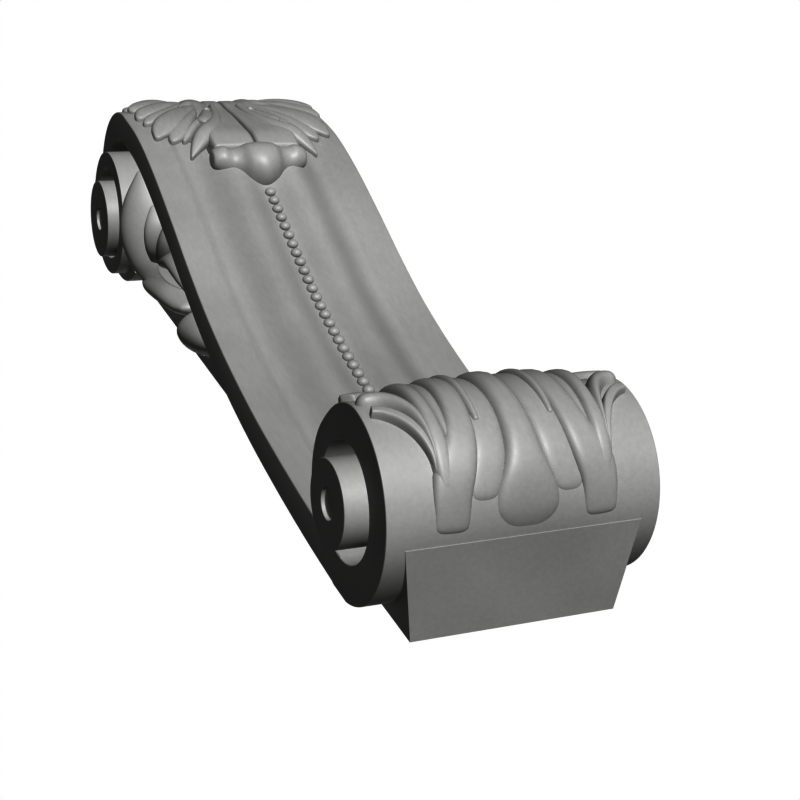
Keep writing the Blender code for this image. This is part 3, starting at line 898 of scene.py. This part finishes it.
UPPER_LEAVES = [
    [
        (16.0, -8.0, 3.6, 4.6),
        (28.0, 4.0, 4.8, 6.2),
        (37.0, 13.5, 4.8, 6.8),
        (44.5, 20.0, 4.2, 6.0),
        (49.4, 24.0, 1.4, 4.4),
    ],
    [
        (15.0, -16.0, 3.8, 4.2),
        (27.0, -6.0, 5.6, 5.6),
        (37.0, 3.0, 7.0, 6.4),
        (45.0, 9.5, 6.2, 6.2),
        (51.0, 15.6, 1.6, 4.2),
    ],
    [
        (10.0, -14.0, 3.0, 4.4),
        (16.0, -5.0, 3.9, 6.4),
        (21.0, 2.0, 3.9, 7.4),
        (26.0, 8.0, 2.8, 6.8),
    ],
    [
        (15.0, -23.0, 3.6, 4.8),
        (30.0, -18.0, 5.6, 6.6),
        (43.0, -6.0, 5.0, 5.8),
        (51.0, 3.0, 3.4, 4.0),
    ],
    [
        (13.0, -28.0, 3.6, 4.4),
        (29.0, -31.0, 5.6, 5.6),
        (42.0, -25.0, 4.8, 4.8),
        (49.0, -19.0, 2.6, 3.0),
    ],
    [
        (5.0, -29.0, 4.0, 4.0),
        (14.0, -40.0, 6.0, 4.8),
        (24.0, -46.0, 4.6, 4.0),
        (30.0, -48.0, 2.6, 2.6),
    ],
]


def nose():
    """The curled tip of the palmette: rounded sections one beside the other across the band."""
    rings = []
    turns = [2 * math.pi * step / NOSE_TURNS for step in range(NOSE_TURNS)]
    for x, down, height, reach, swell in smooth(NOSE, NOSE_STEPS):
        rings.append(
            [on_band(x, down + reach * math.cos(turn), height + swell * math.sin(turn)) for turn in turns]
        )
    return wrap("nose", rings)


PALMETTE_LOBES = [
    (FAN_HALF, (5.0, 12.0), (1.0, 0.2), False),
    (POINTED_LEAF, (2.4, 3.0), (1.0, 1.0), True),
    (OVAL_LEAF, (2.4, 2.6), (1.0, 1.0), True),
    (SMALL_LEAF, (2.4, 2.6), (1.0, 1.0), True),
    (BROAD_LEAF, (2.8, 3.4), (1.0, 1.0), True),
    (BROAD_LEAF_FOLD, (2.6, 3.0), (1.0, 1.0), True),
] + [(stations, (2.6, 3.0), (1.0, 1.0), True) for stations in UPPER_LEAVES]

palmette_lobes = [nose()]
for stations, crown, blunt, curl in PALMETTE_LOBES:
    for half in (stations, mirrored(stations)):
        palmette_lobes.append(
            lobe("palmette_lobe", on_band, half, PALMETTE_SINK, crown=crown, blunt=blunt, curl=curl)
        )
        if stations is OVAL_LEAF:
            side = math.copysign(1.0, half[0][0])
            bpy.ops.mesh.primitive_uv_sphere_add(
                segments=24,
                ring_count=16,
                radius=1.0,
                location=on_band(side * EYELET[0], EYELET[1], EYELET[2]),
                scale=Vector(EYELET_RADII) * MM,
            )
            pit = bpy.context.object
            apply_place()
            combine(palmette_lobes[-1], pit, "DIFFERENCE")
palmette = join("palmette", palmette_lobes, CARVED_CREASE)
print("palmette", len(palmette.data.polygons), "faces")

# %% [markdown]
# ### Leaves on the sides
#
# In the hollow of each side a spray of leaves climbs from a knob below to one big lobe under
# the volute. The two sides are mirror images.

# %% Side leaves
SIDE_SINK = 3.0
SIDE_CROWN = (2.0, 2.0)
KNOB = [
    (5.0, 24.0, 1.0, 4.0),
    (18.0, 21.0, 6.4, 9.0),
    (32.0, 20.0, 11.0, 13.5),
    (42.0, 20.0, 12.0, 15.0),
    (50.0, 22.0, 9.0, 12.0),
]
LOW_LEAF = [
    (58.0, 24.0, 3.0, 7.0),
    (68.0, 22.4, 6.2, 11.5),
    (84.0, 22.4, 7.6, 15.0),
    (102.0, 20.0, 6.0, 15.5),
    (120.0, 16.6, 1.2, 12.0),
]
STRIP = [
    (62.0, 33.4, 1.0, 8.0),
    (72.0, 33.6, 1.7, 12.0),
    (84.0, 34.2, 1.7, 12.8),
    (94.0, 35.0, 0.8, 11.0),
]
FIFTH_LEAF = [
    (42.0, 35.0, 2.4, 8.0),
    (56.0, 40.5, 6.0, 12.0),
    (74.0, 43.0, 6.6, 13.5),
    (88.0, 38.0, 4.4, 12.5),
    (96.0, 34.0, 1.4, 9.0),
]
FOURTH_LEAF = [
    (101.0, 28.0, 3.0, 7.0),
    (97.0, 38.0, 6.6, 11.0),
    (92.0, 49.0, 7.4, 11.5),
    (91.0, 60.0, 3.0, 8.0),
]
NARROW_LOBE = [
    (113.0, 29.0, 2.4, 9.0),
    (107.5, 40.0, 5.6, 14.0),
    (107.5, 51.0, 5.8, 14.5),
    (112.0, 62.0, 2.4, 10.0),
]
BIG_LOBE = [
    (117.0, 13.0, 3.0, 8.0),
    (121.0, 26.0, 11.0, 18.0),
    (126.0, 42.0, 13.0, 22.5),
    (129.0, 58.0, 10.5, 20.0),
    (131.0, 75.0, 2.6, 12.0),
]

side_pieces = []
for side, chart in (("left", on_left), ("right", on_right)):
    side_lobes = [
        lobe("side_lobe", chart, stations, SIDE_SINK, SIDE_CROWN)
        for stations in (KNOB, LOW_LEAF, STRIP, FIFTH_LEAF, FOURTH_LEAF, NARROW_LOBE, BIG_LOBE)
    ]
    side_pieces.append(join(f"side_leaves_{side}", side_lobes, CARVED_CREASE))
print("side leaves", [len(piece.data.polygons) for piece in side_pieces], "faces")

# %% [markdown]
# ## Grey primer
#
# The carving is painted with a matt grey wood primer, brushed and lightly sanded. It scatters
# light evenly, with a faint broad sheen. Three things keep it from looking like plastic: a slow
# change of tone over a hand's width, faint streaks of the brush along the bracket that also make
# the sheen uneven, and the fine grit of the dry coat.

# %% Grey primer
def linear(hex_colour):
    """Turns an sRGB hex colour into the linear values that Blender mixes with."""
    values = [int(hex_colour[index : index + 2], 16) / 255 for index in (1, 3, 5)]
    return [v / 12.92 if v <= 0.04045 else ((v + 0.055) / 1.055) ** 2.4 for v in values] + [1.0]


def add_node(tree, kind, settings=None, inputs=None, links=None):
    """Adds a node, with its settings, its input values and the sockets that feed it."""
    node = tree.nodes.new(kind)
    for name, value in (settings or {}).items():
        setattr(node, name, value)
    for name, value in (inputs or {}).items():
        node.inputs[name].default_value = value
    for name, socket in (links or {}).items():
        tree.links.new(socket, node.inputs[name])
    return node


primer = bpy.data.materials.new("matt_grey_primer")
primer.use_nodes = True
tree = primer.node_tree
paint = tree.nodes["Principled BSDF"]
where = add_node(tree, "ShaderNodeTexCoord")
clouds = add_node(
    tree,
    "ShaderNodeTexNoise",
    inputs={"Scale": 1 / (60 * MM), "Detail": 2.0, "Roughness": 0.5},
    links={"Vector": where.outputs["Object"]},
)
tone = add_node(tree, "ShaderNodeValToRGB", links={"Fac": clouds.outputs["Fac"]})
tone.color_ramp.elements[0].position = 0.3
tone.color_ramp.elements[0].color = linear("#9b9b9a")
tone.color_ramp.elements[1].position = 0.7
tone.color_ramp.elements[1].color = linear("#a3a3a2")
stretch = add_node(
    tree,
    "ShaderNodeMapping",
    inputs={"Scale": (1 / (1.6 * MM), 1 / (1.6 * MM), 1 / (45 * MM))},
    links={"Vector": where.outputs["Object"]},
)
streaks = add_node(
    tree,
    "ShaderNodeTexNoise",
    inputs={"Scale": 1.0, "Detail": 2.0, "Roughness": 0.55},
    links={"Vector": stretch.outputs["Vector"]},
)
streak_tone = add_node(
    tree,
    "ShaderNodeMapRange",
    inputs={"From Min": 0.3, "From Max": 0.7, "To Min": 0.975, "To Max": 1.02},
    links={"Value": streaks.outputs["Fac"]},
)
colour = add_node(
    tree,
    "ShaderNodeVectorMath",
    settings={"operation": "SCALE"},
    links={"Vector": tone.outputs["Color"], "Scale": streak_tone.outputs["Result"]},
)
sheen = add_node(
    tree,
    "ShaderNodeMapRange",
    inputs={"From Min": 0.3, "From Max": 0.7, "To Min": 0.47, "To Max": 0.54},
    links={"Value": streaks.outputs["Fac"]},
)
grit = add_node(
    tree,
    "ShaderNodeTexNoise",
    inputs={"Scale": 1 / (0.9 * MM), "Detail": 3.0, "Roughness": 0.6},
    links={"Vector": where.outputs["Object"]},
)
relief = add_node(
    tree,
    "ShaderNodeBump",
    inputs={"Strength": 0.1, "Distance": 0.2 * MM},
    links={"Height": grit.outputs["Fac"]},
)
tree.links.new(colour.outputs["Vector"], paint.inputs["Base Color"])
tree.links.new(sheen.outputs["Result"], paint.inputs["Roughness"])
tree.links.new(relief.outputs["Normal"], paint.inputs["Normal"])
paint.inputs["Metallic"].default_value = 0.0
paint.inputs["IOR"].default_value = 1.45
print("primer with", len(tree.nodes), "nodes")

# %% [markdown]
# ## Fasten the pieces
#
# Every piece stands for the one carved solid, rides on its only body and is painted with the
# primer.

# %% Fasten the pieces
pieces = [web, roll, roll_hub, ring, upper_hub, band, bead_row, roll_leaf, palmette] + side_pieces
for piece in pieces:
    piece.data.materials.clear()
    piece.data.materials.append(primer)
    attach(piece, "root")
    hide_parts("scroll_bracket")
triangles = sum(len(face.vertices) - 2 for piece in pieces for face in piece.data.polygons)
print(len(pieces), "pieces,", triangles, "triangles")

plain = bpy.data.materials.new("pale_floor")
plain.use_nodes = True
plain.node_tree.nodes["Principled BSDF"].inputs["Base Color"].default_value = linear("#f2f2f0")
plain.node_tree.nodes["Principled BSDF"].inputs["Roughness"].default_value = 0.9
floor.data.materials.append(plain)
